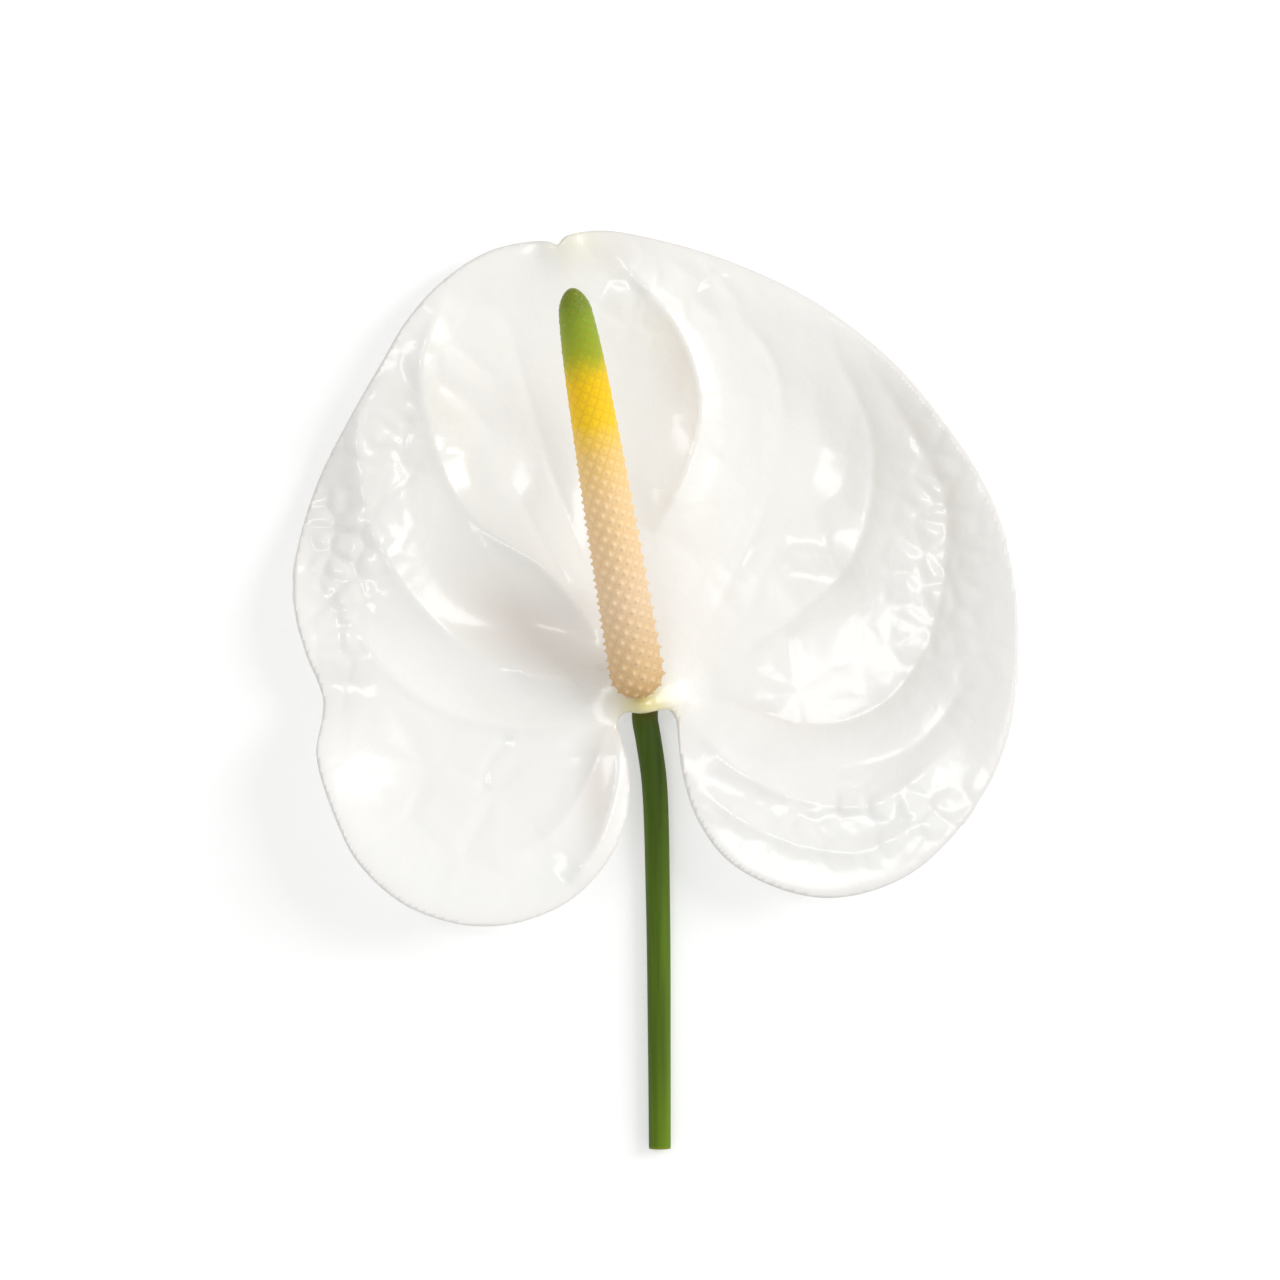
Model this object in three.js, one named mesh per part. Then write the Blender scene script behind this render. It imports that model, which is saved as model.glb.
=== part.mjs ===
// A cut anthurium flower lying on its back: the white heart-shaped spathe (the plant's showy modified
// leaf), the spadix that leans forward from its base, and the cut stem. Millimetres, +Z up, face up.
// The drawing point (0, 0) is the node where the three organs meet. +Y runs towards the spathe's apex.
import * as THREE from 'three';

// Spathe, seen from above
const SPATHE_BLADE = 0.9;
const SPATHE_LEAST = 0.65;
const SIDE_CUP = 12;
const SIDE_POWER = 2.6;
const REST_LEVEL = 2.1;
const SIDE_REACH = 65;
const LOBE_RISE = 13;
const LOBE_REACH = 84;
const APEX_RISE = 3.5;
const APEX_REACH = 40;
const LOW_LINE = 45;
const MIDLINE_LEAN = -0.165;
const CUP_LEAN = -0.066;
const KEEL_HEIGHT = 2;
const KEEL_WIDTH = 13;
const KEEL_MIDDLE = 25;
const KEEL_LENGTH = 48;
const FLOOR_LEVEL = 0.5;
const FLOOR_SOFTNESS = 1;
const SEAT_LEVEL = 8.4;
const SEAT_HOLD = 1.4;
const NODE_X = 0.9;
const NODE_Y = 1.2;
const NODE_RADIUS = 6;
const BOSS_HEIGHT = 2.6;
const BOSS_RADIUS = 2.8;
const BOSS_X = 0.5;
const BOSS_Y = 0.2;
const FOLD_STEPS = 24;
const FOLD_GROWTH = 2;
const FOLD_END = 0.15;

// Spadix
const SPADIX_LENGTH = 79;
const SPADIX_RADIUS = 4.75;
const EVEN_TAPER = 0.23;
const TIP_TAPER = 0.27;
const TIP_TAPER_POWER = 8;
const BASE_ROUND = 5;
const TIP_ROUND = 4.5;
const SPADIX_BASE = [0.1, 1.9, 11.6];
const SPADIX_LEAN = THREE.MathUtils.degToRad(9.6);
const SPADIX_LIFT = THREE.MathUtils.degToRad(24.5);
const GOLDEN_ANGLE = Math.PI * (3 - Math.sqrt(5));
const FLORET_RISE = 0.0315;
const KNOB_HEIGHT = 0.55;
const KNOB_TIP_SHARE = 0.35;
const KNOB_FADE = [0.5, 0.75];
const POLE_GAP = 0.3;

// Stem
const STEM_RADIUS_TOP = 2.4;
const STEM_RADIUS_CUT = 2;
const STEM_SIDES = 16;
const STEM_STEPS = 30;
const STEM_CUT_Y = -80.2;
const STEM_BEND = 3.6;
const SEAT_GAP = 0.35;

// The spathe's edge, from the left corner of the sinus round the left lobe, the apex and the right lobe
// to the right corner of the sinus.
const spatheEdge = [
  [-2.6, -10], [-1.9, -15], [-2.5, -20.5], [-6, -28], [-12.8, -34.9], [-21.4, -38.5], [-31, -39],
  [-42.5, -34.9], [-50.2, -27.7], [-55.4, -16.9], [-57.8, -7], [-56.9, 0.2], [-60.7, 11.9], [-62.3, 20.9],
  [-61.4, 29.9], [-58.1, 40.7], [-52.3, 52], [-46.4, 62.3], [-42.1, 69.5], [-35.6, 76.7], [-27.2, 82.1],
  [-19.8, 83.8], [-15.6, 83.2], [-11.7, 85.2], [-5, 85.6], [2.7, 84.2], [16.2, 80.3], [31.3, 73.1],
  [45.2, 62.3], [54.2, 51.5], [61.2, 40.7], [65.5, 29.9], [67.4, 19.1], [67.5, 8.3], [65.2, -6.1],
  [60.3, -16.9], [51.1, -27.7], [43.2, -32.2], [34, -34.2], [25.2, -32.7], [15.8, -27.7], [10.4, -20.5],
  [8, -13.5], [7.2, -9],
];
// The top of the sinus, which bridges the stem, from its left corner to its right one
const sinusArch = [
  [-4.3, -3.6], [-3.9, -2.1], [-2.6, -1.2], [0.5, -1.1], [3.8, -0.7], [5.6, -0.8], [6.7, -2.4],
];

// Raised folds (positive) and sunken veins (negative): the line seen from above, its height, and how wide
// its left and right banks are
const folds = [
  {
    line: [[-6, 10], [-16.5, 24], [-30.5, 34], [-37.5, 48], [-39.5, 61], [-35, 75]],
    height: 2,
    banks: [3.5, 8],
  },
  {
    line: [[-6, 3], [-24, 7], [-35, 13.5], [-45, 25.5], [-50, 38], [-51, 50], [-47, 58]],
    height: 2.2,
    banks: [5, 7],
  },
  {
    line: [[-8, -2], [-20, -3.8], [-35, -1], [-44, 5], [-53, 17], [-58, 34]],
    height: 0.8,
    banks: [3, 4],
  },
  {
    line: [[-5.5, -3], [-9.5, -14], [-15.7, -22.7], [-22, -26.5], [-31, -27.7]],
    height: 0.8,
    banks: [3, 4],
  },
  {
    line: [[-4, -4], [-3.6, -12], [-7.5, -25], [-13, -32]],
    height: 2,
    banks: [2, 5],
  },
  {
    line: [[-3, 80], [6.7, 68.6], [11.2, 55], [8.5, 42], [2.7, 31]],
    height: 2.4,
    banks: [3, 8],
  },
  {
    line: [[7, 2], [18, 0], [31, -4], [43, 0], [51, 10], [55, 26], [54, 40], [40, 64]],
    height: -1,
    banks: [4, 4],
  },
  {
    line: [[8.5, -2.5], [18.7, -12.2], [31.7, -17.5], [43, -17], [57, -6]],
    height: 1.3,
    banks: [5, 4],
  },
  {
    line: [[11, -15], [21, -21.8], [38.5, -26], [55, -18]],
    height: 1,
    banks: [5, 3],
  },
];
// Broad swells and hollows (negative) of the blade: centre, height and radii
const swells = [
  { at: [-19, 14], height: -2.6, reach: [14, 6] },
  { at: [29, 23], height: -1.8, reach: [9, 5] },
  { at: [-60, 36], height: -6, reach: [9, 26] },
  { at: [-27, 43], height: -4.8, reach: [10, 11] },
  { at: [31, 45], height: -4, reach: [15, 15] },
  { at: [-57, 2], height: -3, reach: [8, 7] },
  { at: [-14, 84], height: 1.6, reach: [4, 6] },
  { at: [28, -10], height: 1.6, reach: [14, 5] },
  { at: [-42, -14], height: -1.5, reach: [12, 9] },
];

const VECTOR_UP = new THREE.Vector3(0, 0, 1);
const bell = (distance, reach) => Math.exp(-((distance / reach) ** 2));

function smoothLine(points, count) {
  const knots = points.map(([x, y]) => new THREE.Vector3(x, y, 0));
  return new THREE.CatmullRomCurve3(knots, false, 'centripetal').getSpacedPoints(count);
}

for (const fold of folds) fold.path = smoothLine(fold.line, FOLD_STEPS);

// How high a fold is at (x, y): it fades towards both of its ends and away from its line.
function foldHeight({ path, height, banks }, x, y) {
  let nearest = Infinity;
  let side = 0;
  let along = 0;
  for (let i = 0; i + 1 < path.length; i += 1) {
    const from = path[i];
    const dx = path[i + 1].x - from.x;
    const dy = path[i + 1].y - from.y;
    const share = ((x - from.x) * dx + (y - from.y) * dy) / (dx * dx + dy * dy);
    const part = THREE.MathUtils.clamp(share, 0, 1);
    const offX = x - from.x - part * dx;
    const offY = y - from.y - part * dy;
    const distance = Math.hypot(offX, offY);
    if (distance < nearest) {
      nearest = distance;
      side = dx * offY - dy * offX > 0 ? 0 : 1;
      along = (i + part) / (path.length - 1);
    }
  }
  const fade = Math.min(1, Math.sin(Math.PI * along) * FOLD_GROWTH + FOLD_END);
  return height * fade * Math.exp(-nearest / banks[side]);
}

// Height of the spathe's front face over the surface that the flower lies on
function frontHeight(x, y) {
  const sideways = (x - CUP_LEAN * y) / SIDE_REACH;
  const lengthways = y < LOW_LINE ? (LOW_LINE - y) / LOBE_REACH : (y - LOW_LINE) / APEX_REACH;
  const rise = y < LOW_LINE ? LOBE_RISE : APEX_RISE;
  const keel = KEEL_HEIGHT * bell(x - MIDLINE_LEAN * y, KEEL_WIDTH) * bell(y - KEEL_MIDDLE, KEEL_LENGTH);
  let z = REST_LEVEL + SIDE_CUP * Math.abs(sideways) ** SIDE_POWER + rise * lengthways ** 2 + keel;
  for (const { at, height, reach } of swells) {
    z += height * bell(x - at[0], reach[0]) * bell(y - at[1], reach[1]);
  }
  for (const fold of folds) z += foldHeight(fold, x, y);
  z = (z + FLOOR_LEVEL + Math.hypot(z - FLOOR_LEVEL, FLOOR_SOFTNESS)) / 2;
  const seat = bell(Math.hypot(x - NODE_X, y - NODE_Y), NODE_RADIUS);
  return THREE.MathUtils.lerp(z, SEAT_LEVEL, Math.min(1, SEAT_HOLD * seat));
}

// The thickened node under the spadix
const boss = (x, y) => BOSS_HEIGHT * bell(Math.hypot(x - BOSS_X, y - BOSS_Y), BOSS_RADIUS);

// Front and back height of the blade, flattened underneath where it rests
function bladeFaces(x, y) {
  const front = frontHeight(x, y);
  const back = Math.max(front - SPATHE_BLADE, 0);
  return [Math.max(front + boss(x, y), back + SPATHE_LEAST), back];
}

// The blade is drawn on rays that fan out from the sinus arch to the edge. Columns double outwards.
const COLUMNS_INNER = 28;
const rings = [
  { upTo: 0.14, columns: COLUMNS_INNER, steps: 4 },
  { upTo: 0.4, columns: COLUMNS_INNER * 2, steps: 5 },
  { upTo: 1, columns: COLUMNS_INNER * 4, steps: 11 },
];

function spatheMesh() {
  const finest = COLUMNS_INNER * 4;
  const arch = smoothLine(sinusArch, finest);
  const edge = smoothLine(spatheEdge, finest);
  const rows = [];
  let start = 0;
  for (const { upTo, columns, steps } of rings) {
    for (let step = rows.length ? 1 : 0; step <= steps; step += 1) {
      rows.push({ share: start + ((upTo - start) * step) / steps, columns });
    }
    start = upTo;
  }
  const fronts = [];
  const backs = [];
  for (const row of rows) {
    row.first = fronts.length;
    for (let c = 0; c <= row.columns; c += 1) {
      const ray = (c * finest) / row.columns;
      const point = arch[ray].clone().lerp(edge[ray], row.share);
      const [front, back] = bladeFaces(point.x, point.y);
      fronts.push([point.x, point.y, front]);
      backs.push([point.x, point.y, back]);
    }
  }
  const under = fronts.length;
  const faces = [];
  const both = (a, b, c) => faces.push([a, b, c], [a + under, c + under, b + under]);
  const wall = (a, b) => faces.push([a, b, b + under], [a, b + under, a + under]);
  for (let r = 0; r + 1 < rows.length; r += 1) {
    const inner = rows[r];
    const outer = rows[r + 1];
    for (let c = 0; c < inner.columns; c += 1) {
      const a = inner.first + c;
      const b = a + 1;
      if (inner.columns === outer.columns) {
        const d = outer.first + c;
        both(a, b, d);
        both(b, d + 1, d);
      } else {
        const d = outer.first + 2 * c;
        both(a, d + 1, d);
        both(a, b, d + 1);
        both(b, d + 2, d + 1);
      }
    }
    wall(inner.first, outer.first);
    wall(outer.first + outer.columns, inner.first + inner.columns);
  }
  const [innermost, outermost] = [rows[0], rows.at(-1)];
  for (let c = 0; c < innermost.columns; c += 1) wall(innermost.first + c + 1, innermost.first + c);
  for (let c = 0; c < outermost.columns; c += 1) wall(outermost.first + c, outermost.first + c + 1);
  return solid([...fronts, ...backs], faces);
}

function solid(points, faces) {
  const geometry = new THREE.BufferGeometry();
  geometry.setAttribute('position', new THREE.Float32BufferAttribute(points.flat(), 3));
  geometry.setIndex(faces.flat());
  geometry.computeVertexNormals();
  return geometry;
}

// Radius of the spadix at a distance from its base: round ends and a slim taper between them
function spadixRadius(height) {
  const share = height / SPADIX_LENGTH;
  const taper = 1 - EVEN_TAPER * share - TIP_TAPER * share ** TIP_TAPER_POWER;
  return SPADIX_RADIUS * taper * roundEnd(height, BASE_ROUND) * roundEnd(SPADIX_LENGTH - height, TIP_ROUND);
}

function roundEnd(fromEnd, reach) {
  return Math.sqrt(1 - Math.max(0, 1 - fromEnd / reach) ** 2);
}

// Florets stand at golden-angle turns, so 8 rows wind one way and 13 the other. Each is a four-sided
// knob, tallest towards the base of the spadix, and four knobs share each low corner between them.
const ROW_LEFT = 8;
const ROW_RIGHT = 13;

function spadixMesh() {
  const heights = [];
  const lastHeight = SPADIX_LENGTH - POLE_GAP;
  for (let height = POLE_GAP; height < lastHeight; height += FLORET_RISE * spadixRadius(height)) {
    heights.push(height);
  }
  const points = heights.map((height, i) => {
    const angle = -i * GOLDEN_ANGLE;
    const radius = spadixRadius(height);
    return [radius * Math.cos(angle), radius * Math.sin(angle), height];
  });
  const corners = points.length;
  const faces = [];
  for (let i = 0; i + ROW_LEFT + ROW_RIGHT < corners; i += 1) {
    const tile = [i, i + ROW_LEFT, i + ROW_LEFT + ROW_RIGHT, i + ROW_RIGHT];
    const middle = tile.reduce((sum, k) => sum.add(new THREE.Vector3(...points[k])), new THREE.Vector3());
    middle.divideScalar(4);
    const share = middle.z / SPADIX_LENGTH;
    const relief = THREE.MathUtils.lerp(1, KNOB_TIP_SHARE, THREE.MathUtils.smoothstep(share, ...KNOB_FADE));
    const bare = spadixRadius(middle.z);
    const stretch = (bare + KNOB_HEIGHT * relief * (bare / SPADIX_RADIUS)) / Math.hypot(middle.x, middle.y);
    points.push([middle.x * stretch, middle.y * stretch, middle.z]);
    const top = points.length - 1;
    tile.forEach((k, side) => faces.push([k, top, tile[(side + 1) % 4]]));
  }
  closeEnd(points, faces, 0, 1, 0);
  closeEnd(points, faces, corners - 1, -1, SPADIX_LENGTH);
  return solid(points, faces);
}

// Caps the zigzag ring of the first or last florets with a fan to the spadix's own end.
function closeEnd(points, faces, first, way, height) {
  points.push([0, 0, height]);
  const centre = points.length - 1;
  let step = 0;
  do {
    const next = step < ROW_RIGHT ? step + ROW_LEFT : step - ROW_RIGHT;
    faces.push([centre, first + way * step, first + way * next]);
    step = next;
  } while (step !== 0);
}

// A round tube through the given points, with its radius at the first and the last of them
function tubeMesh(path, radiusFrom, radiusTo, steps, sides) {
  const points = [];
  const faces = [];
  for (let i = 0; i <= steps; i += 1) {
    const centre = path.getPoint(i / steps);
    const tangent = path.getTangent(i / steps);
    const across = new THREE.Vector3(1, 0, 0).addScaledVector(tangent, -tangent.x).normalize();
    const up = tangent.clone().cross(across);
    const radius = THREE.MathUtils.lerp(radiusFrom, radiusTo, i / steps);
    for (let s = 0; s < sides; s += 1) {
      const turn = ((s + 0.5) / sides) * 2 * Math.PI;
      const point = centre.clone().addScaledVector(across, radius * Math.cos(turn));
      points.push(point.addScaledVector(up, radius * Math.sin(turn)).toArray());
    }
  }
  const last = steps * sides;
  for (let i = 0; i < last; i += sides) {
    for (let s = 0; s < sides; s += 1) {
      const next = (s + 1) % sides;
      faces.push([i + s, i + next, i + sides + s], [i + next, i + sides + next, i + sides + s]);
    }
  }
  for (let s = 1; s + 1 < sides; s += 1) {
    faces.push([0, s + 1, s], [last, last + s, last + s + 1]);
  }
  return solid(points, faces);
}

// The stem lies on its side facet from the cut, rises a little and bends up square to the spathe's back.
// Its route gives each point's place and how far it is over the lying height.
const stemRoute = [[3.6, STEM_CUT_Y, 0], [3.5, -62, 0.06], [3.3, -36, 0.2], [2.6, -14, 0.7]];
const bendApproach = [1.5, -6, -0.2];
const bendTurns = [0, 30, 60, 90];
const stemRest = STEM_RADIUS_CUT * Math.cos(Math.PI / STEM_SIDES);
const stemTop = SEAT_LEVEL - SPATHE_BLADE - SEAT_GAP;
const bendStart = NODE_Y - STEM_BEND;
const bendLow = stemTop - STEM_BEND - SEAT_GAP;
const over = (level) => ([x, y, rise]) => new THREE.Vector3(x, y, level + rise);
const bendPoint = (degrees) => {
  const turn = THREE.MathUtils.degToRad(degrees);
  const rise = STEM_BEND * (1 - Math.cos(turn));
  return over(bendLow)([NODE_X, bendStart + STEM_BEND * Math.sin(turn), rise]);
};
const stemPath = new THREE.CatmullRomCurve3([
  ...stemRoute.map(over(stemRest)),
  over(bendLow)(bendApproach),
  ...bendTurns.map(bendPoint),
  new THREE.Vector3(NODE_X, NODE_Y, stemTop),
], false, 'centripetal');

const finish = (color, roughness) => new THREE.MeshStandardMaterial({ color, roughness, metalness: 0 });

function piece(name, geometry, material) {
  const mesh = new THREE.Mesh(geometry, material);
  mesh.name = name;
  return mesh;
}

const spathe = piece('spathe', spatheMesh(), finish(0xf2f3ee, 0.3));

const spadix = piece('spadix', spadixMesh(), finish(0xf0c887, 0.55));
const aim = new THREE.Vector3(
  -Math.sin(SPADIX_LEAN) * Math.cos(SPADIX_LIFT),
  Math.cos(SPADIX_LEAN) * Math.cos(SPADIX_LIFT),
  Math.sin(SPADIX_LIFT),
);
spadix.position.set(...SPADIX_BASE);
spadix.quaternion.setFromUnitVectors(VECTOR_UP, aim);

const stemTube = tubeMesh(stemPath, STEM_RADIUS_CUT, STEM_RADIUS_TOP, STEM_STEPS, STEM_SIDES);
const stem = piece('stem', stemTube, finish(0x587314, 0.5));

// The origin is under the middle of the whole flower, on the surface that it lies on.
const flower = new THREE.Group();
flower.add(spathe, spadix, stem);
flower.updateMatrixWorld(true);
const box = new THREE.Box3().setFromObject(flower, true);
const middle = box.getCenter(new THREE.Vector3());
flower.position.set(-middle.x, -middle.y, -box.min.z);

export default flower;
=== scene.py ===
import math

import bmesh
import bpy
import numpy as np
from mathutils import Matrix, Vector, kdtree, noise


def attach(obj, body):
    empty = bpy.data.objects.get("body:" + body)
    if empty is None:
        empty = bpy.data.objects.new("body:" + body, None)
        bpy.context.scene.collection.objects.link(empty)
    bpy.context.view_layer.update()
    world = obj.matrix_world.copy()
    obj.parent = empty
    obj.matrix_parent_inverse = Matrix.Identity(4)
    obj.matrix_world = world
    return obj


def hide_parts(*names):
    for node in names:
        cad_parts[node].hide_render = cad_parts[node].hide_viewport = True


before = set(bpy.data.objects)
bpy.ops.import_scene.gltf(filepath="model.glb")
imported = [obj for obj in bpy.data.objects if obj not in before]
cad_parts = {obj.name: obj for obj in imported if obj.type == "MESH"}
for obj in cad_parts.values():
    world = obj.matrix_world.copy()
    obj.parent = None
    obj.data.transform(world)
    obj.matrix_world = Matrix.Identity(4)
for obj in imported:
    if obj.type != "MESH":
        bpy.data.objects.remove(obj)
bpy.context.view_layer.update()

# A cut anthurium flower lying face up. Sizes here are in millimetres until a mesh is finished.
# The drawing starts at the node where spathe, spadix and stem meet, which lies here in the frame.
mm = 0.001
nodePlace = (-2.702, -2.707)
# steps between two given points of a smooth line
lineSteps = 24
# points of a rolled grid that are closer than this become one
weldReach = 0.004


def bell(distance, reach):
    return np.exp(-((distance / reach) ** 2))


def smoothLine(points, count):
    # centripetal Catmull-Rom line through the points, evenly spaced
    p = np.array(points, float)
    p = np.vstack([2 * p[0] - p[1], p, 2 * p[-1] - p[-2]])
    parts = []
    for a, b, c, d in zip(p[:-3], p[1:-2], p[2:-1], p[3:]):
        t1 = np.linalg.norm(b - a) ** 0.5
        t2 = t1 + np.linalg.norm(c - b) ** 0.5
        t3 = t2 + np.linalg.norm(d - c) ** 0.5
        t = np.linspace(t1, t2, lineSteps, endpoint=False)[:, None]
        ab = a + (b - a) * t / t1
        bc = b + (c - b) * (t - t1) / (t2 - t1)
        cd = c + (d - c) * (t - t2) / (t3 - t2)
        abc = ab + (bc - ab) * t / t2
        bcd = bc + (cd - bc) * (t - t1) / (t3 - t1)
        parts.append(abc + (bcd - abc) * (t - t1) / (t2 - t1))
    dense = np.vstack(parts + [p[-2:-1]])
    run = np.concatenate([[0], np.cumsum(np.linalg.norm(np.diff(dense, axis=0), axis=1))])
    even = np.linspace(0, run[-1], count)
    return np.column_stack([np.interp(even, run, dense[:, k]) for k in range(dense.shape[1])])


def nearestOnLine(x, y, path):
    # distance to a line, the side of it (1 left, -1 right), the share along it and the nearest point
    best = np.full(x.shape, np.inf)
    side, along = np.zeros(x.shape), np.zeros(x.shape)
    footX, footY = x.copy(), y.copy()
    for i, (a, b) in enumerate(zip(path[:-1], path[1:])):
        dx, dy = b - a
        part = np.clip(((x - a[0]) * dx + (y - a[1]) * dy) / (dx * dx + dy * dy), 0, 1)
        offX, offY = x - a[0] - part * dx, y - a[1] - part * dy
        distance = np.hypot(offX, offY)
        near = distance < best
        best = np.where(near, distance, best)
        side = np.where(near, np.sign(dx * offY - dy * offX), side)
        along = np.where(near, (i + part) / (len(path) - 1), along)
        footX = np.where(near, a[0] + part * dx, footX)
        footY = np.where(near, a[1] + part * dy, footY)
    return best, side, along, footX, footY


# Stage: the camera's place is in millimetres, lights and floor are in metres
stage = {
    "cameraHeight": 968, "lens": 150, "sensor": 36, "aimX": 0, "aimY": 11.9,
    "key": {"place": (0.75, 0.25, 0.6), "size": (0.4, 0.6), "watts": 4.4},
    "strip": {"place": (-0.3, 0.2, 1.0), "size": (0.14, 0.34), "watts": 0.9},
    "skyStrength": 0.66,
    "floorSize": 6, "floorColor": (0.72, 0.72, 0.715, 1), "floorPatches": (0.74, 0.74, 0.74, 1),
    "floorScale": 40, "floorGlow": 0.36,
}

camera = bpy.data.objects.new("camera", bpy.data.cameras.new("camera"))
camera.data.lens = stage["lens"]
camera.data.sensor_width = stage["sensor"]
camera.location = (
    (stage["aimX"] + nodePlace[0]) * mm, (stage["aimY"] + nodePlace[1]) * mm, stage["cameraHeight"] * mm,
)
bpy.context.collection.objects.link(camera)
bpy.context.scene.camera = camera
bpy.context.scene.view_settings.view_transform = "Standard"

world = bpy.data.worlds.new("studio")
bpy.context.scene.world = world
world.use_nodes = True
world.node_tree.nodes["Background"].inputs["Color"].default_value = (1, 1, 1, 1)
world.node_tree.nodes["Background"].inputs["Strength"].default_value = stage["skyStrength"]


def softbox(name, place, size, watts):
    lamp = bpy.data.lights.new(name, "AREA")
    lamp.shape = "RECTANGLE"
    lamp.size, lamp.size_y = size
    lamp.energy = watts
    obj = bpy.data.objects.new(name, lamp)
    obj.location = place
    obj.rotation_euler = (-Vector(place)).to_track_quat("-Z", "Y").to_euler()
    bpy.context.collection.objects.link(obj)


softbox("keyRight", **stage["key"])
softbox("stripLeft", **stage["strip"])


# Shader maths as plain expressions
class Wire:
    def __init__(self, tree, socket):
        self.tree, self.socket = tree, socket

    def join(self, other, operation, swap=False):
        a, b = (other, self) if swap else (self, other)
        return node(self.tree, "ShaderNodeMath", {"operation": operation}, {0: a, 1: b})

    def __add__(self, other):
        return self.join(other, "ADD")

    def __radd__(self, other):
        return self.join(other, "ADD")

    def __sub__(self, other):
        return self.join(other, "SUBTRACT")

    def __rsub__(self, other):
        return self.join(other, "SUBTRACT", True)

    def __mul__(self, other):
        return self.join(other, "MULTIPLY")

    def clamped(self):
        return node(self.tree, "ShaderNodeClamp", {}, {"Value": self})


def node(tree, kind, settings, inputs, output=0):
    made = tree.nodes.new(kind)
    for key, value in settings.items():
        if key == "stops":
            while len(made.color_ramp.elements) < len(value):
                made.color_ramp.elements.new(0.5)
            for element, (place, color) in zip(made.color_ramp.elements, value):
                element.position = place
                element.color = rgba(*color)
        else:
            setattr(made, key, value)
    for key, value in inputs.items():
        if isinstance(value, Wire):
            tree.links.new(value.socket, made.inputs[key])
        else:
            made.inputs[key].default_value = value
    return Wire(tree, made.outputs[output])


def mixColor(tree, share, first, second):
    settings = {"data_type": "RGBA", "clamp_factor": True}
    return node(tree, "ShaderNodeMix", settings, {0: share, 6: first, 7: second}, 2)


def attribute(tree, name):
    # its third output is the plain number
    return node(tree, "ShaderNodeAttribute", {"attribute_name": name}, {}, 2)


def objectPlace(tree, scale=(1, 1, 1)):
    place = node(tree, "ShaderNodeTexCoord", {}, {}, 3)
    return node(tree, "ShaderNodeMapping", {}, {"Vector": place, "Scale": scale})


def roughen(tree, scale, detail, place):
    return node(tree, "ShaderNodeTexNoise", {}, {"Vector": place, "Scale": scale, "Detail": detail})


def material(name, build, constants):
    made = bpy.data.materials.new(name)
    made.use_nodes = True
    tree = made.node_tree
    shader = tree.nodes["Principled BSDF"]
    for key, value in constants.items():
        shader.inputs[key].default_value = value
    for key, wire in build(tree).items():
        tree.links.new(wire.socket, shader.inputs[key])
    return made


def bump(tree, height, distance, strength):
    return node(tree, "ShaderNodeBump", {}, {"Strength": strength, "Distance": distance, "Height": height})


def rgba(r, g, b):
    # a colour as seen on screen, made linear
    return tuple(((v / 255 + 0.055) / 1.055) ** 2.4 for v in (r, g, b)) + (1,)


def finishPiece(bm, name, look, cadNode, attributes):
    mesh = bpy.data.meshes.new(name)
    bm.to_mesh(mesh)
    bm.free()
    for key, values in attributes.items():
        mesh.attributes.new(key, "FLOAT", "POINT").data.foreach_set("value", np.asarray(values, np.float32))
    mesh.shade_smooth()
    mesh.materials.append(look)
    obj = bpy.data.objects.new(name, mesh)
    bpy.context.collection.objects.link(obj)
    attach(obj, "root")
    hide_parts(cadNode)
    return obj


# Spathe: the blade's heights, then what its rest, edge, tints, mesh and look need
spatheForm = {
    "blade": 0.9, "sideCup": 12, "sidePower": 2.6, "sideReach": 65, "restLevel": 2.1,
    "lobeRise": 13, "apexRise": 3.5, "lowLine": 45, "lobeReach": 84, "apexReach": 40,
    "cupLean": -0.066, "midlineLean": -0.165, "keelHeight": 2, "keelWidth": 13,
    "keelMiddle": 25, "keelLength": 48,
    "foldGrowth": 2, "foldEnd": 0.15, "foldPoints": 25, "puckerFrom": 0.03, "puckerSlope": 2.2, "seed": 4,
    "restGap": 0.05, "restSoftness": 1.2, "seatHold": 1.4, "seatLevel": 8.4,
    "nodeX": 0.9, "nodeY": 1.2, "nodeRadius": 6,
    "bossHeight": 2.6, "bossRadius": 2.8, "bossX": 0.5, "bossY": 0.2,
    "edgeRoll": 0.7, "edgeReach": 2.5, "rollStart": 6, "rollOver": 12,
    "heartX": 0.9, "heartY": 0.5, "heartSqueeze": 0.75, "heartReach": 3.7, "edgeTint": 0.8,
    # paintedShadeDepth is the sunken vein depth that gives the full painted shade
    "cuspX": -12, "cuspY": 83.5, "cuspSqueeze": 1.4, "cuspReach": 4.5, "paintedShadeDepth": 3,
    "cell": 0.6, "margin": 1, "rimMerge": 0.24, "rimPoints": 900, "archPoints": 60, "smoothRounds": 3,
    "tintStep": 3,
    "creamWhite": (243, 243, 238), "clearWhite": (249, 248, 246), "cloudScale": 55,
    # colour and share of the painted shade on the blade's shaded slopes, folds and sunken veins
    "paintedShadeColor": (224, 215, 207), "paintedShadeShare": 0.7, "rimColor": (232, 226, 220), "rimShare": 0.5,
    "cuspColor": (228, 226, 190), "cuspShare": 0.4, "heartColor": (222, 210, 140), "heartShare": 0.95,
    "cellScale": 420, "cellRelief": 0.25, "fineScale": 900, "fineRelief": 0.35,
    "waveScale": 130, "waveRelief": 1.2, "reliefDepth": 0.00022, "reliefStrength": 0.55,
    "roughness": 0.2, "cloudRoughness": 0.22,
}
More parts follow.
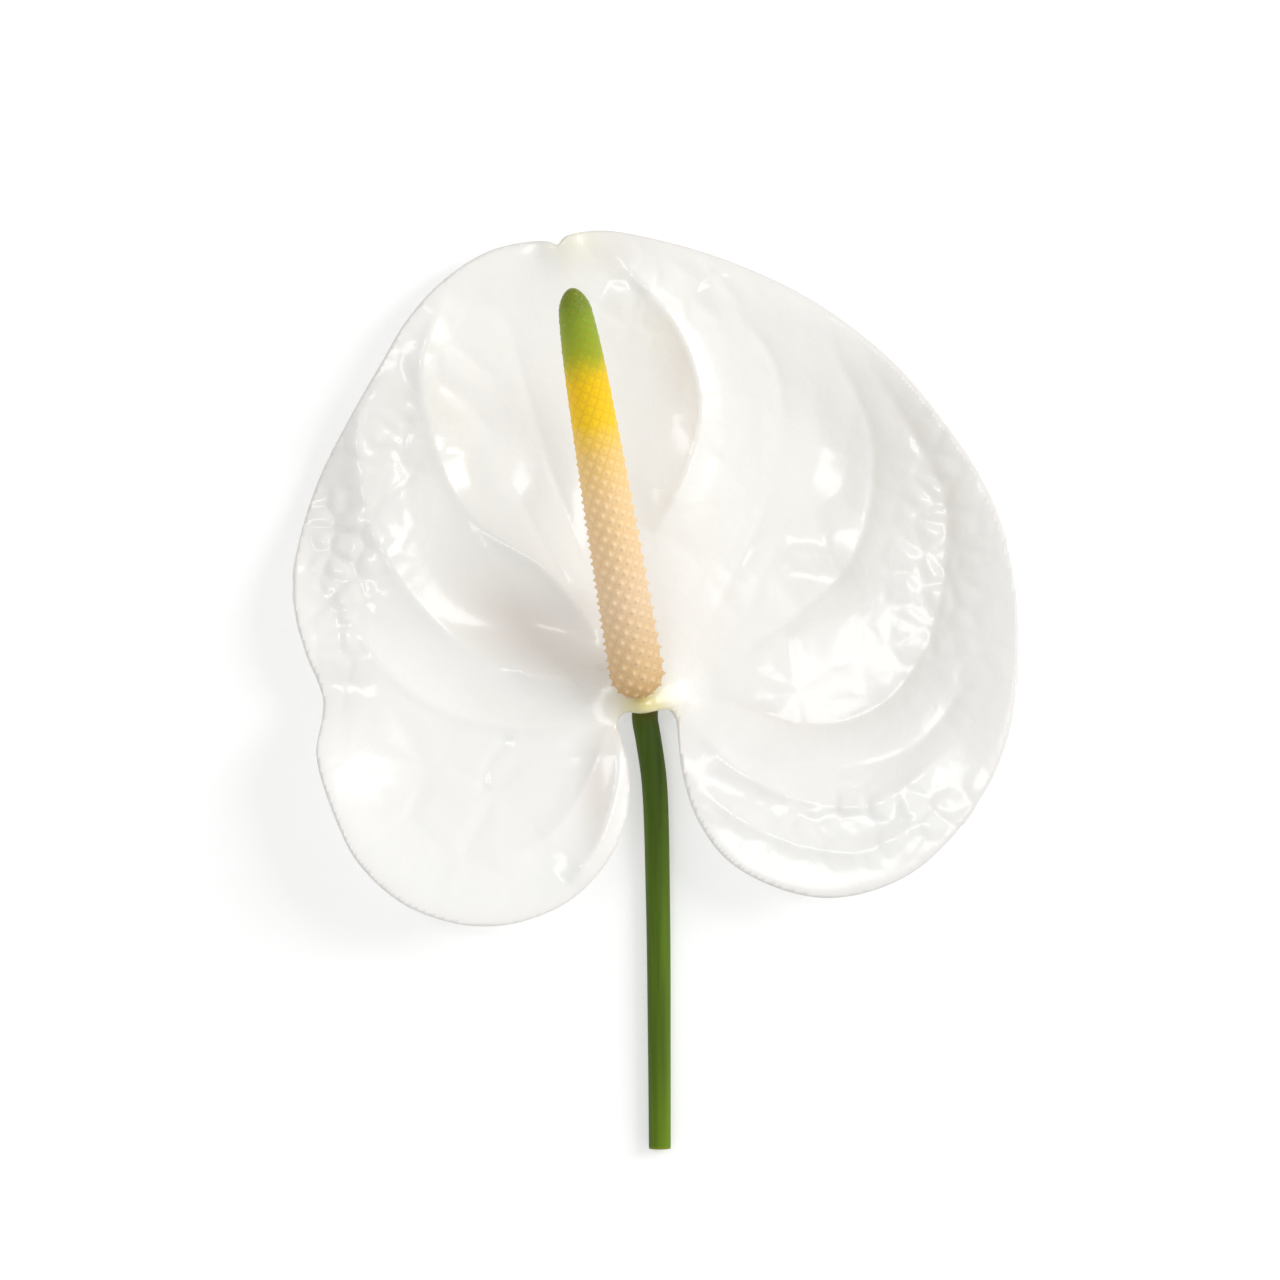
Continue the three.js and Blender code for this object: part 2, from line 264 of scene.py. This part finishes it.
# seen from above, round the left lobe, the apex and the right lobe
spatheEdge = [
    (-4.3, -3.6), (-3.2, -6.4), (-2.2, -10), (-1.8, -15), (-2.5, -20.5), (-6, -28), (-12.8, -34.9),
    (-21.4, -38.5), (-28, -39.2), (-34, -38.4), (-42.5, -34.9), (-50.2, -27.7), (-55.4, -16.9),
    (-57.8, -8), (-57, -2), (-57, 1.5), (-60.7, 11.9), (-62.3, 20.9), (-61.4, 29.9), (-58.1, 40.7),
    (-52.3, 52), (-46.4, 62.3), (-42.1, 69.5), (-35.6, 76.7), (-27.2, 82.1), (-19.8, 83.8),
    (-16.2, 83.7), (-14.9, 83.1), (-13.5, 84.6), (-7.2, 85.8), (2.7, 84.3), (16.2, 80.3), (31.3, 73.1),
    (45.2, 62.3), (54.2, 51.5), (61.2, 40.7), (65.5, 29.9), (67.4, 19.1), (67.5, 8.3), (65.2, -6.1),
    (60.3, -16.9), (51.1, -27.7), (43.2, -32.3), (34, -34.2), (25.2, -32.7), (15.8, -27.7),
    (10.4, -20.5), (7.9, -13.3), (6.9, -6.5), (6.7, -2.4),
]
# the top of the sinus, which bridges the stem
sinusArch = [(-4.3, -3.6), (-3.9, -2.1), (-2.6, -1.2), (0.5, -1.3), (3.8, -0.7), (5.6, -0.8), (6.7, -2.4)]
# raised folds and, with a negative height, sunken veins, with the widths of their left and right banks
folds = [
    {"line": [(-6, 10), (-16.5, 24), (-30.5, 34), (-37.5, 48), (-39.5, 61), (-35, 75)],
     "height": 2, "banks": (3.5, 8)},
    {"line": [(-6, 3), (-24, 7), (-35, 13.5), (-45, 25.5), (-50, 38), (-51, 50), (-47, 58)],
     "height": 2.2, "banks": (5, 7)},
    {"line": [(-8, -2), (-20, -3.8), (-35, -1), (-44, 5), (-53, 17), (-58, 34)],
     "height": 0.8, "banks": (3, 4)},
    {"line": [(-5.5, -3), (-9.5, -14), (-15.7, -22.7), (-22, -26.5), (-31, -27.7)],
     "height": 0.8, "banks": (3, 4)},
    {"line": [(-4, -4), (-3.6, -12), (-7.5, -25), (-13, -32)], "height": 2, "banks": (2, 5)},
    {"line": [(-3, 80), (6.7, 68.6), (11.2, 55), (8.5, 42), (2.7, 31)], "height": 2.6, "banks": (3, 6)},
    {"line": [(7, 2), (18, 0), (31, -4), (43, 0), (51, 10), (55, 26), (54, 40), (40, 64)],
     "height": -1, "banks": (4, 4)},
    {"line": [(8.5, -2.5), (18.7, -12.2), (31.7, -17.5), (43, -17), (57, -6)],
     "height": 1.3, "banks": (5, 4)},
    {"line": [(11, -15), (21, -21.8), (38.5, -26), (55, -18)], "height": 1, "banks": (5, 3)},
]
# broad swells and hollows
swells = [
    {"at": (-19, 14), "height": -2.6, "reach": (14, 6)},
    {"at": (29, 23), "height": -1.8, "reach": (9, 5)},
    {"at": (-60, 36), "height": -6, "reach": (9, 26)},
    {"at": (-27, 43), "height": -4.4, "reach": (10, 11)},
    {"at": (31, 45), "height": -3.9, "reach": (15, 15)},
    {"at": (-57, 2), "height": -3, "reach": (8, 7)},
    {"at": (-14, 84), "height": 1.6, "reach": (4, 6)},
    {"at": (28, -10), "height": 1.6, "reach": (14, 5)},
    {"at": (-42, -14), "height": -1.5, "reach": (12, 9)},
]
# fine veins and puckers that only the finished blade shows
fineFolds = [
    {"line": [(-23, -5), (-27, -10), (-28.6, -16)], "height": -0.5, "banks": (1.4, 1.4)},
    {"line": [(-24, 9), (-19, 5.5), (-6, 7)], "height": 0.7, "banks": (1.5, 1.5)},
    {"line": [(-38, 60), (-29, 52), (-22, 38), (-10, 16)], "height": -0.35, "banks": (1.4, 1.4)},
    {"line": [(-24, 70), (-19, 52), (-9, 22)], "height": -0.3, "banks": (1.5, 1.5)},
    {"line": [(-50, 34), (-43, 40), (-39, 44)], "height": -0.5, "banks": (1, 1)},
    {"line": [(-49, 46), (-44, 46), (-42, 41)], "height": -0.5, "banks": (1, 1)},
    {"line": [(-42, 52), (-43, 46)], "height": -0.4, "banks": (1, 1)},
    {"line": [(17, 72), (25, 60), (24, 40), (12, 14)], "height": -0.45, "banks": (1.6, 1.6)},
    {"line": [(34, 66), (42, 48), (38, 26), (16, 8)], "height": -0.45, "banks": (1.6, 1.6)},
    {"line": [(26, 30), (20, 22), (14, 26)], "height": -0.4, "banks": (1.5, 1.5)},
    {"line": [(14, -8), (30, -11.5), (48, -8), (60, 6)], "height": -0.5, "banks": (1.6, 1.6)},
]
# painted shade: where the blade is coloured a little darker and warmer for the shade on its dark slopes and
# in its folds
paintedShades = [
    {"at": (-18, 13), "reach": (13, 6), "slant": 0.5, "share": 0.9},
    {"at": (-55, 33), "reach": (8, 22), "slant": 0, "share": 0.15},
    {"at": (-7.5, -15), "reach": (3, 10), "slant": -0.6, "share": 1},
    {"at": (-6, 82), "reach": (8, 4), "slant": 0, "share": 0.5},
    {"at": (7, 58), "reach": (4, 14), "slant": 0, "share": 0.4},
]
puckers = [
    {"at": (-54, 32), "reach": (7, 22), "height": 0.9, "grain": 4.5},
    {"at": (-44, 46), "reach": (7, 14), "height": 0.6, "grain": 7},
    {"at": (54, 30), "reach": (8, 26), "height": 0.4, "grain": 5},
    {"at": (44, -20), "reach": (22, 6), "height": 0.4, "grain": 5},
    {"at": (5, 76), "reach": (14, 8), "height": 0.5, "grain": 6},
    {"at": (-34, 66), "reach": (10, 12), "height": 0.45, "grain": 8},
    {"at": (26, 30), "reach": (22, 34), "height": 0.3, "grain": 9},
    {"at": (-36, -14), "reach": (20, 18), "height": 0.35, "grain": 10},
]
for fold in folds + fineFolds:
    fold["path"] = smoothLine(fold["line"], spatheForm["foldPoints"])


def foldHeight(fold, x, y, form=spatheForm):
    distance, side, along, _, _ = nearestOnLine(x, y, fold["path"])
    fade = np.minimum(1, np.sin(np.pi * along) * form["foldGrowth"] + form["foldEnd"])
    bank = np.where(side > 0, fold["banks"][0], fold["banks"][1])
    return fold["height"] * fade * np.exp(-distance / bank)


def frontHeight(x, y, form=spatheForm):
    sideways = (x - form["cupLean"] * y) / form["sideReach"]
    low = y < form["lowLine"]
    lengthways = (y - form["lowLine"]) / np.where(low, form["lobeReach"], form["apexReach"])
    keel = form["keelHeight"] * bell(x - form["midlineLean"] * y, form["keelWidth"])
    keel = keel * bell(y - form["keelMiddle"], form["keelLength"])
    z = form["restLevel"] + form["sideCup"] * np.abs(sideways) ** form["sidePower"] + keel
    z = z + np.where(low, form["lobeRise"], form["apexRise"]) * lengthways ** 2
    for swell in swells:
        (atX, atY), (reachX, reachY) = swell["at"], swell["reach"]
        z = z + swell["height"] * bell(x - atX, reachX) * bell(y - atY, reachY)
    for fold in folds + fineFolds:
        z = z + foldHeight(fold, x, y)
    for pucker in puckers:
        (atX, atY), (reachX, reachY) = pucker["at"], pucker["reach"]
        zone = bell(x - atX, reachX) * bell(y - atY, reachY)
        grain = pucker["grain"]
        lumps = np.zeros(x.shape)
        for i in np.nonzero(zone > form["puckerFrom"])[0]:
            spot = Vector((x[i] / grain, y[i] / grain, form["seed"] + atX))
            distances, _ = noise.voronoi(spot)
            lumps[i] = min(1.0, (distances[1] - distances[0]) * form["puckerSlope"]) - 0.5
        z = z + pucker["height"] * zone * lumps
    # the blade settles softly on the surface that it lies on
    least = form["blade"] + form["restGap"]
    z = (z + least + np.hypot(z - least, form["restSoftness"])) / 2
    seat = bell(np.hypot(x - form["nodeX"], y - form["nodeY"]), form["nodeRadius"])
    seat = np.minimum(1, form["seatHold"] * seat)
    z = z + (form["seatLevel"] - z) * seat
    boss = form["bossHeight"] * bell(np.hypot(x - form["bossX"], y - form["bossY"]), form["bossRadius"])
    return z + boss


def insideLine(x, y, loop):
    inside = np.zeros(x.shape, bool)
    for (ax, ay), (bx, by) in zip(loop, np.roll(loop, -1, axis=0)):
        if ay == by:
            continue
        crosses = (ay > y) != (by > y)
        inside ^= crosses & (x < ax + (y - ay) * (bx - ax) / (by - ay))
    return inside


def spatheLook(tree, form=spatheForm):
    place = objectPlace(tree)
    heart = attribute(tree, "heart")
    edge = attribute(tree, "edge")
    cusp = attribute(tree, "cusp")
    sunk = attribute(tree, "sunk")
    cloud = roughen(tree, form["cloudScale"], 4, place)
    fine = roughen(tree, form["fineScale"], 3, place)
    white = mixColor(tree, cloud, rgba(*form["creamWhite"]), rgba(*form["clearWhite"]))
    # painted shade: darker, warmer colour where the blade's slopes, folds and sunken veins lie in shade
    withPaintedShade = mixColor(tree, sunk * form["paintedShadeShare"], white, rgba(*form["paintedShadeColor"]))
    rim = mixColor(tree, edge * form["rimShare"], withPaintedShade, rgba(*form["rimColor"]))
    tipped = mixColor(tree, cusp * form["cuspShare"], rim, rgba(*form["cuspColor"]))
    color = mixColor(tree, (heart * form["heartShare"]).clamped(), tipped, rgba(*form["heartColor"]))
    inputs = {"Vector": place, "Scale": form["cellScale"]}
    cells = node(tree, "ShaderNodeTexVoronoi", {"feature": "SMOOTH_F1"}, inputs)
    waves = roughen(tree, form["waveScale"], 2, place)
    relief = cells * form["cellRelief"] + fine * form["fineRelief"] + waves * form["waveRelief"]
    return {
        "Base Color": color,
        "Roughness": form["roughness"] + cloud * form["cloudRoughness"],
        "Normal": bump(tree, relief, form["reliefDepth"], form["reliefStrength"]),
    }


def buildSpathe(form=spatheForm):
    arch = smoothLine(sinusArch, form["archPoints"])
    loop = np.vstack([smoothLine(spatheEdge, form["rimPoints"]), arch[::-1][1:-1]])
    low, high = loop.min(0) - form["margin"], loop.max(0) + form["margin"]
    size = high - low
    bm = bmesh.new()
    counts = [int(side / form["cell"]) for side in size]
    bmesh.ops.create_grid(bm, x_segments=counts[0], y_segments=counts[1], size=0.5)
    bmesh.ops.scale(bm, vec=(size[0], size[1], 1), verts=bm.verts)
    bmesh.ops.translate(bm, vec=(*(low + size / 2), 0), verts=bm.verts)
    middles = np.array([face.calc_center_median()[:2] for face in bm.faces])
    keep = insideLine(middles[:, 0], middles[:, 1], loop)
    outside = [face for face, kept in zip(bm.faces, keep) if not kept]
    bmesh.ops.delete(bm, geom=outside, context="FACES")
    # the cut cells' outer corners move onto the true edge
    rim = [vert for vert in bm.verts if vert.is_boundary]
    rimX, rimY = (np.array([vert.co[k] for vert in rim]) for k in (0, 1))
    _, _, _, footX, footY = nearestOnLine(rimX, rimY, np.vstack([loop, loop[:1]]))
    for vert, x, y in zip(rim, footX, footY):
        vert.co.x, vert.co.y = x, y
    bmesh.ops.remove_doubles(bm, verts=rim, dist=form["rimMerge"])
    rim = [vert for vert in bm.verts if vert.is_boundary]
    links = [link for vert in rim for link in vert.link_edges]
    near = {vert for link in links for vert in link.verts if not vert.is_boundary}
    for _ in range(form["smoothRounds"]):
        bmesh.ops.smooth_vert(bm, verts=list(near), factor=0.5, use_axis_x=True, use_axis_y=True)
    x, y = (np.array([vert.co[k] for vert in bm.verts]) for k in (0, 1))
    toEdge, *_ = nearestOnLine(x, y, np.vstack([loop[::form["tintStep"]], loop[:1]]))
    fromNode = np.hypot(x - form["nodeX"], y - form["nodeY"])
    front = frontHeight(x, y)
    roll = form["edgeRoll"] * np.exp(-toEdge / form["edgeReach"])
    front = front - roll * np.clip((fromNode - form["rollStart"]) / form["rollOver"], 0, 1)
    front = np.maximum(front, form["blade"] + form["restGap"])
    for vert, z in zip(bm.verts, front):
        vert.co = ((vert.co.x + nodePlace[0]) * mm, (vert.co.y + nodePlace[1]) * mm, z * mm)
    bmesh.ops.recalc_face_normals(bm, faces=bm.faces)
    bm.normal_update()
    if sum(face.normal.z for face in bm.faces) < 0:
        bmesh.ops.reverse_faces(bm, faces=bm.faces)
    # painted shade: the blade is coloured darker along its sunken veins and in the listed patches of shade
    sunk = sum(np.maximum(-foldHeight(fold, x, y), 0) for fold in folds) / form["paintedShadeDepth"]
    for shade in paintedShades:
        (atX, atY), (reachX, reachY) = shade["at"], shade["reach"]
        along = y - atY + shade["slant"] * (x - atX)
        sunk = sunk + shade["share"] * bell(x - atX, reachX) * bell(along, reachY)
    fromHeart = np.hypot((x - form["heartX"]) * form["heartSqueeze"], y - form["heartY"])
    fromCusp = np.hypot(x - form["cuspX"], (y - form["cuspY"]) * form["cuspSqueeze"])
    attributes = {
        "heart": bell(fromHeart, form["heartReach"]),
        "edge": np.exp(-toEdge / form["edgeTint"]),
        "cusp": bell(fromCusp, form["cuspReach"]),
        "sunk": np.clip(sunk, 0, 1),
    }
    look = material("waxyWhite", spatheLook, {"IOR": 1.45, "Coat Weight": 0.55, "Coat Roughness": 0.12})
    obj = finishPiece(bm, "spatheBlade", look, "spathe", attributes)
    solid = obj.modifiers.new("thickness", "SOLIDIFY")
    solid.thickness = form["blade"] * mm
    solid.offset = -1
    print("spathe done", len(obj.data.vertices))


# Rolls a grid round an axis or a path: place(turn, share) gives the points, and both ends close
def rollGrid(around, along, place):
    bm = bmesh.new()
    bmesh.ops.create_grid(bm, x_segments=around, y_segments=along, size=0.5)
    turn = np.array([vert.co.x + 0.5 for vert in bm.verts]) * 2 * np.pi
    share = np.array([vert.co.y + 0.5 for vert in bm.verts])
    for vert, point in zip(bm.verts, place(turn, share)):
        vert.co = point * mm
    bmesh.ops.remove_doubles(bm, verts=bm.verts, dist=weldReach * mm)
    bmesh.ops.recalc_face_normals(bm, faces=bm.faces)
    return bm


# Spadix: florets at golden-angle turns
spadixForm = {
    "length": 79, "radius": 4.75, "evenTaper": 0.23, "tipTaper": 0.27, "tipTaperPower": 8,
    "baseRound": 5, "tipRound": 4.5, "base": (0.1, 1.9, 11.6), "lean": 9.6, "lift": 24.5,
    "floretRise": 0.0315, "poleGap": 0.3, "lastGap": 0.15, "leastRadius": 0.8,
    "knob": 0.62, "knobReach": 0.32, "groove": 0.1, "grooveReach": 0.16, "leastSize": 0.25,
    "tipKnob": 0.22, "knobFrom": 0.3, "knobFade": 0.25, "knobHighlightReach": 0.4, "grooveShadeReach": 0.2,
    "around": 150, "along": 380, "crowding": 0.25, "pole": 0.05,
    "bands": [
        (0.0, (92, 122, 24)), (0.07, (132, 160, 40)), (0.14, (156, 172, 34)), (0.18, (212, 192, 28)),
        (0.22, (248, 202, 14)), (0.31, (253, 208, 36)), (0.39, (248, 208, 126)), (0.5, (246, 210, 156)),
        (0.75, (238, 208, 170)), (0.92, (224, 190, 142)), (1.0, (196, 156, 96)),
    ],
    "wanderScale": 300, "wander": 0.05, "peachFrom": 0.36, "peachFade": 8,
    # painted shade: darker colour in the grooves between florets, less of it lower down
    "grooveShadeColor": (180, 126, 52), "grooveShadeShare": 0.36, "grooveShadeDrop": 0.16,
    # painted highlight on the knob tips, and painted glints as specks on the green tip: their colours and
    # shares
    "knobHighlightColor": (254, 232, 198), "knobHighlightShare": 0.5, "glintSpeckColor": (206, 214, 150), "glintSpeckShare": 0.5,
    # noise mask of the painted glints, pale specks over the green tip
    "speckScale": 1500, "speckFrom": 0.62, "speckContrast": 6, "speckFade": 5,
    "roughness": 0.5, "knobGloss": 0.12, "grainScale": 1800, "grainDepth": 0.0002, "grainStrength": 0.5,
}


def roundEnd(fromEnd, reach):
    return np.sqrt(1 - np.clip(1 - fromEnd / reach, 0, 1) ** 2)


def spadixRadius(height, form=spadixForm):
    share = np.clip(height / form["length"], 0, 1)
    taper = 1 - form["evenTaper"] * share - form["tipTaper"] * share ** form["tipTaperPower"]
    ends = roundEnd(height, form["baseRound"]) * roundEnd(form["length"] - height, form["tipRound"])
    return form["radius"] * taper * ends


def spadixLook(tree, form=spadixForm):
    place = objectPlace(tree)
    along = attribute(tree, "fromTip")
    knob = attribute(tree, "knob")
    groove = attribute(tree, "groove")
    wander = roughen(tree, form["wanderScale"], 3, place) - 0.5
    zone = along + wander * form["wander"]
    bands = node(tree, "ShaderNodeValToRGB", {"stops": form["bands"]}, {"Fac": zone})
    lower = ((along - form["peachFrom"]) * form["peachFade"]).clamped()
    # painted shade: the grooves between florets are coloured darker
    grooveShadeShare = groove * (form["grooveShadeShare"] - lower * form["grooveShadeDrop"])
    grooveShaded = mixColor(tree, grooveShadeShare.clamped(), bands, rgba(*form["grooveShadeColor"]))
    # painted highlight: the knob tips of the lower spadix are coloured paler where the bumps catch the
    # light
    knobHighlightShare = (knob * lower * form["knobHighlightShare"]).clamped()
    knobHighlighted = mixColor(tree, knobHighlightShare, grooveShaded, rgba(*form["knobHighlightColor"]))
    # painted glints: pale specks on the green tip, fading away from it
    spots = roughen(tree, form["speckScale"], 2, place) - form["speckFrom"]
    glintSpeck = (spots * form["speckContrast"]).clamped() * (1 - (along * form["speckFade"]).clamped())
    color = mixColor(tree, glintSpeck * form["glintSpeckShare"], knobHighlighted, rgba(*form["glintSpeckColor"]))
    grain = roughen(tree, form["grainScale"], 3, place)
    return {
        "Base Color": color,
        "Roughness": form["roughness"] - knob * form["knobGloss"],
        "Normal": bump(tree, grain, form["grainDepth"], form["grainStrength"]),
    }


def buildSpadix(form=spadixForm):
    spots = []
    height = form["poleGap"]
    while height < form["length"] - form["lastGap"]:
        radius = float(spadixRadius(np.array(height)))
        angle = -len(spots) * math.pi * (3 - math.sqrt(5))
        spots.append((radius * math.cos(angle), radius * math.sin(angle), height))
        height += form["floretRise"] * max(radius, form["leastRadius"])
    florets = kdtree.KDTree(len(spots))
    for i, spot in enumerate(spots):
        florets.insert(spot, i)
    florets.balance()
    lean, lift = math.radians(form["lean"]), math.radians(form["lift"])
    aim = Vector((-math.sin(lean) * math.cos(lift), math.cos(lean) * math.cos(lift), math.sin(lift)))
    turned = Vector((0, 0, 1)).rotation_difference(aim).to_matrix()

    def nearestTwo(point):
        (_, _, first), (_, _, second) = florets.find_n(point, 2)
        return first, second

    def place(turn, share):
        # rings crowd towards both ends so that the domes stay round
        crowded = form["length"] * (0.5 - 0.5 * np.cos(np.pi * share))
        heights = crowded * form["crowding"] + form["length"] * share * (1 - form["crowding"])
        for angle, h, r in zip(turn, heights, spadixRadius(heights)):
            bare = Vector((r * math.cos(angle), r * math.sin(angle), h))
            first, second = nearestTwo(bare)
            size = max(form["leastSize"], r / form["radius"])
            knob = math.exp(-((first / (form["knobReach"] * size)) ** 2))
            groove = math.exp(-(second - first) / (form["grooveReach"] * size))
            fromTip = 1 - h / form["length"]
            grown = min(1, max(0, (fromTip - form["knobFrom"]) / form["knobFade"]))
            prominence = form["tipKnob"] + (1 - form["tipKnob"]) * grown
            raised = size * prominence * (form["knob"] * knob - form["groove"] * groove)
            outward = Vector((math.cos(angle), math.sin(angle), 0))
            if h < form["baseRound"]:
                outward = (outward + Vector((0, 0, h / form["baseRound"] - 1))).normalized()
            if form["length"] - h < form["tipRound"]:
                outward.z += 1 - (form["length"] - h) / form["tipRound"]
                outward.normalize()
            if r < form["pole"]:
                raised, outward = 0, Vector()
            point = turned @ (bare + outward * raised) + Vector(form["base"])
            yield Vector((point.x + nodePlace[0], point.y + nodePlace[1], point.z))

    bm = rollGrid(form["around"], form["along"], place)
    back = turned.inverted()
    facts = {"fromTip": [], "knob": [], "groove": []}
    for vert in bm.verts:
        local = back @ (vert.co / mm - Vector((*nodePlace, 0)) - Vector(form["base"]))
        first, second = nearestTwo(local)
        facts["fromTip"].append(1 - local.z / form["length"])
        # painted highlight mask round each floret's knob tip
        facts["knob"].append(math.exp(-((first / form["knobHighlightReach"]) ** 2)))
        # painted shade mask for the grooves between florets
        facts["groove"].append(math.exp(-(second - first) / form["grooveShadeReach"]))
    look = material("floretSkin", spadixLook, {"IOR": 1.42, "Specular IOR Level": 0.3})
    obj = finishPiece(bm, "spadixFlorets", look, "spadix", facts)
    print("spadix done", len(obj.data.vertices), len(spots))


# Stem: lies on the table from its cut, then bends up to the spathe's back
stemForm = {
    "radiusTop": 2.4, "radiusCut": 2.0, "cutY": -80.2, "bend": 3.6, "topLevel": 7.5, "rest": 2.02,
    "seatGap": 0.35, "bendTurns": (0, 30, 60, 90), "approach": (1.5, -6, -0.2),
    "route": [(3.6, -80.2, 0), (3.5, -62, 0.06), (3.3, -36, 0.2), (2.6, -14, 0.7)],
    "linePoints": 400, "around": 40, "along": 170, "capShare": 0.012, "capGrowth": 1.15, "lookAhead": 0.004,
    "wobble": 0.008, "wobbleTurns": 3, "wobbleRun": 9, "ridge": 0.05, "ridges": 5, "ridgeSharpness": 6,
    "lowest": 0.01, "length": 80, "cutDepth": 0.02,
    "streakScale": 900, "streakStretch": (1, 0.03, 1), "broadScale": 260, "broadStretch": (1, 0.05, 1),
    "darkGreen": (50, 70, 5), "midGreen": (88, 118, 8), "litGreen": (102, 132, 10),
    "litFrom": 0.42, "litContrast": 4, "upperColor": (38, 54, 8), "upperFrom": 0.45, "upperFade": 1.6,
    "neckColor": (92, 84, 7), "neckFrom": 0.06, "neckFade": 22, "cutColor": (141, 147, 52),
    "roughness": 0.46, "streakRoughness": 0.16, "streakDepth": 0.00025, "streakStrength": 0.5,
}


def stemLook(tree, form=stemForm):
    streak = roughen(tree, form["streakScale"], 3, objectPlace(tree, form["streakStretch"]))
    broad = roughen(tree, form["broadScale"], 2, objectPlace(tree, form["broadStretch"]))
    high = attribute(tree, "fromNode")
    litShare = ((broad - form["litFrom"]) * form["litContrast"]).clamped()
    upperShare = ((form["upperFrom"] - high) * form["upperFade"]).clamped()
    neckShare = ((form["neckFrom"] - high) * form["neckFade"]).clamped()
    green = mixColor(tree, streak, rgba(*form["darkGreen"]), rgba(*form["midGreen"]))
    lit = mixColor(tree, litShare, green, rgba(*form["litGreen"]))
    upper = mixColor(tree, upperShare, lit, rgba(*form["upperColor"]))
    neck = mixColor(tree, neckShare, upper, rgba(*form["neckColor"]))
    cut = mixColor(tree, attribute(tree, "cut"), neck, rgba(*form["cutColor"]))
    return {
        "Base Color": cut,
        "Roughness": form["roughness"] + streak * form["streakRoughness"],
        "Normal": bump(tree, streak, form["streakDepth"], form["streakStrength"]),
    }


def buildStem(form=stemForm):
    nodeX, nodeY = spatheForm["nodeX"], spatheForm["nodeY"]
    stemTop = spatheForm["seatLevel"] - spatheForm["blade"] - form["seatGap"]
    bendLow = stemTop - form["bend"] - form["seatGap"]
    path = [(x, y, form["rest"] + rise) for x, y, rise in form["route"]]
    x, y, rise = form["approach"]
    path.append((x, y, bendLow + rise))
    for angle in [math.radians(degrees) for degrees in form["bendTurns"]]:
        path.append((nodeX, nodeY - form["bend"] + form["bend"] * math.sin(angle),
                     bendLow + form["bend"] * (1 - math.cos(angle))))
    path.append((nodeX, nodeY, form["topLevel"]))
    line = smoothLine(path, form["linePoints"])
    run = np.linspace(0, 1, form["linePoints"])

    def onLine(t):
        return Vector([np.interp(t, run, line[:, k]) for k in range(3)])

    def place(turn, share):
        ends = form["capShare"]
        # the first and last rings stay in place and shrink to a point, which closes the cut and the top
        inside = np.clip((share - ends) / (1 - 2 * ends), 0, 1)
        close = np.clip(np.minimum(share, 1 - share) / ends, 0, 1)
        for angle, t, c in zip(turn, inside, close):
            ahead = onLine(min(1, t + form["lookAhead"]))
            tangent = (ahead - onLine(max(0, t - form["lookAhead"]))).normalized()
            across = (Vector((1, 0, 0)) - tangent * tangent.x).normalized()
            up = tangent.cross(across)
            radius = form["radiusCut"] + (form["radiusTop"] - form["radiusCut"]) * t
            radius *= 1 + form["wobble"] * math.sin(form["wobbleTurns"] * angle + form["wobbleRun"] * t)
            radius -= form["ridge"] * max(0, math.cos(form["ridges"] * angle)) ** form["ridgeSharpness"]
            shrink = min(1, c * form["capGrowth"])
            point = onLine(t) + (across * math.cos(angle) + up * math.sin(angle)) * radius * shrink
            height = max(point.z, form["lowest"])
            yield Vector((point.x + nodePlace[0], point.y + nodePlace[1], height))

    bm = rollGrid(form["around"], form["along"], place)
    high = [max(0, (nodeY + nodePlace[1] - vert.co.y / mm) / form["length"]) for vert in bm.verts]
    cutEnd = (form["cutY"] + nodePlace[1] + form["cutDepth"]) * mm
    cut = [1.0 if vert.co.y < cutEnd else 0.0 for vert in bm.verts]
    look = material("stemSkin", stemLook, {"IOR": 1.45, "Specular IOR Level": 0.25})
    obj = finishPiece(bm, "stemStalk", look, "stem", {"fromNode": high, "cut": cut})
    print("stem done", len(obj.data.vertices))


def floorLook(tree):
    place = objectPlace(tree)
    grain = roughen(tree, stage["floorScale"], 2, place)
    return {"Base Color": mixColor(tree, grain, stage["floorColor"], stage["floorPatches"])}


def buildFloor():
    bm = bmesh.new()
    bmesh.ops.create_grid(bm, x_segments=2, y_segments=2, size=stage["floorSize"] / 2)
    mesh = bpy.data.meshes.new("floor")
    bm.to_mesh(mesh)
    bm.free()
    mesh.materials.append(material("paleFloor", floorLook, {
        "Roughness": 0.9, "Specular IOR Level": 0.1,
        "Emission Color": (1, 1, 1, 1), "Emission Strength": stage["floorGlow"],
    }))
    floor = bpy.data.objects.new("floor", mesh)
    bpy.context.collection.objects.link(floor)


buildFloor()
buildSpathe()
buildSpadix()
buildStem()
